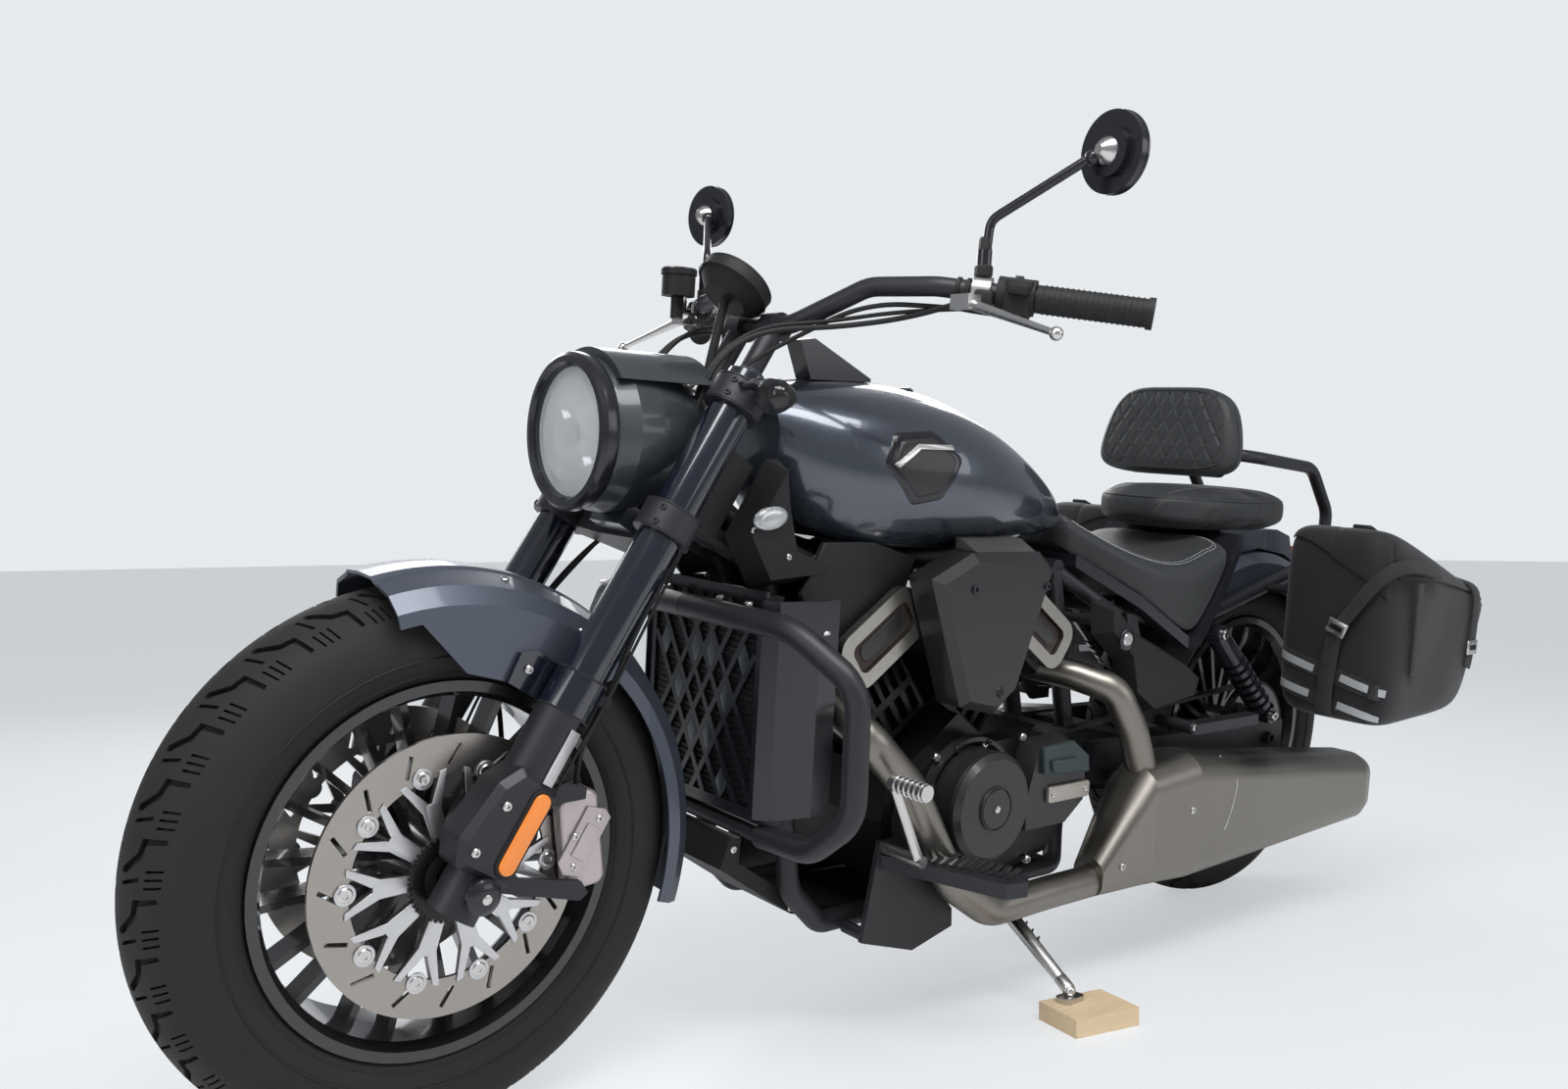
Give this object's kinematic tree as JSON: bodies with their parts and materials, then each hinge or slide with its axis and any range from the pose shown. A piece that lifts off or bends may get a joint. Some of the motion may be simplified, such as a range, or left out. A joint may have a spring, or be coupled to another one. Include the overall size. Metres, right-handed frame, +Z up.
{
  "type": "motorcycle",
  "caption": "Parked cruiser motorcycle with steering, rolling wheels, a folding side stand on a wood block, and soft saddlebags",
  "frame": {"origin": "on the floor under the middle of the parked machine's box", "axes": "+X ahead, +Y to the rider's left, +Z up; the machine leans 5.5 degrees to +Y onto its side stand"},
  "size_m": [2.2838, 0.9384, 1.2652],
  "materials": {
    "tyre": "matt with worn grooves",
    "wheel_black": "satin black",
    "frame_black": "satin black",
    "tank_paint": "metallic gloss",
    "fender_paint": "satin metallic",
    "fork_black": "gloss black",
    "engine_black": "satin black",
    "cover_grey": "dark satin",
    "steel": "brushed",
    "disc_steel": "ground",
    "chrome": "polished",
    "rubber": "matt",
    "black_plastic": "fine grain",
    "gloss_black": "gloss",
    "seat_leather": "fine grain",
    "bag_fabric": "woven",
    "clear_lens": "clear",
    "amber_lens": "clear gloss",
    "red_lens": "clear gloss",
    "wood": "sawn"
  },
  "bodies": {
    "root": {"air_cleaner": "cover_grey", "backrest_bar": "frame_black", "backrest_pad": "seat_leather", "belly_pan": "black_plastic", "crankcase": "engine_black", "crash_bars": "frame_black", "cylinders": "engine_black", "drive_belt": "rubber", "engine_covers": "cover_grey", "exhaust_pipes": "steel", "foot_controls": "steel", "footrests": "frame_black", "frame": "frame_black", "fuel_tank": "tank_paint", "head_bezels": "chrome", "marker_lamps": "clear_lens", "mufflers": "steel", "neck_covers": "black_plastic", "pillion_pad": "seat_leather", "radiator": "black_plastic", "radiator_guard": "gloss_black", "rear_caliper": "steel", "rear_fender": "fender_paint", "rear_shocks": "steel", "rider_seat": "seat_leather", "saddlebag_left": "bag_fabric", "saddlebag_right": "bag_fabric", "seat_tray": "gloss_black", "side_covers": "black_plastic", "stand_block": "wood", "swingarm": "frame_black", "tail_lamp": "red_lens", "tank_console": "gloss_black"},
    "front_end": {"fork_clamps": "frame_black", "fork_tubes": "fork_black", "fork_stanchions": "chrome", "fork_lowers": "frame_black", "front_calipers": "steel", "front_fender": "fender_paint", "lamp_shell": "gloss_black", "lamp_lens": "clear_lens", "handlebar": "frame_black", "grips": "rubber", "levers": "steel", "mirrors": "gloss_black", "instrument": "black_plastic", "turn_signals": "clear_lens"},
    "front_wheel": {"front_tyre": "tyre", "front_rim": "wheel_black", "front_discs": "disc_steel"},
    "rear_wheel": {"rear_tyre": "tyre", "rear_rim": "wheel_black", "rear_disc": "disc_steel"},
    "side_stand_leg": {"side_stand": "steel"}
  },
  "joints": [
    {"name": "steer", "type": "hinge", "parent": "root", "child": "front_end", "pos_m": [0.54282, -0.03097, 0.68811], "axis": [-0.521, 0.0818, 0.8496], "range_deg": [-35, 35]},
    {"name": "front_wheel_spin", "type": "hinge", "parent": "front_end", "child": "front_wheel", "pos_m": [0.82193, -0.06652, 0.31892], "axis": [0, 0.9954, -0.0958], "continuous": true},
    {"name": "rear_wheel_spin", "type": "hinge", "parent": "root", "child": "rear_wheel", "pos_m": [-0.77807, -0.06652, 0.31892], "axis": [0, 0.9954, -0.0958], "continuous": true},
    {"name": "side_stand_fold", "type": "hinge", "parent": "root", "child": "side_stand_leg", "pos_m": [-0.05307, 0.04583, 0.12928], "axis": [0.0778, 0.4941, 0.8659], "range_deg": [0, 100]}
  ]
}
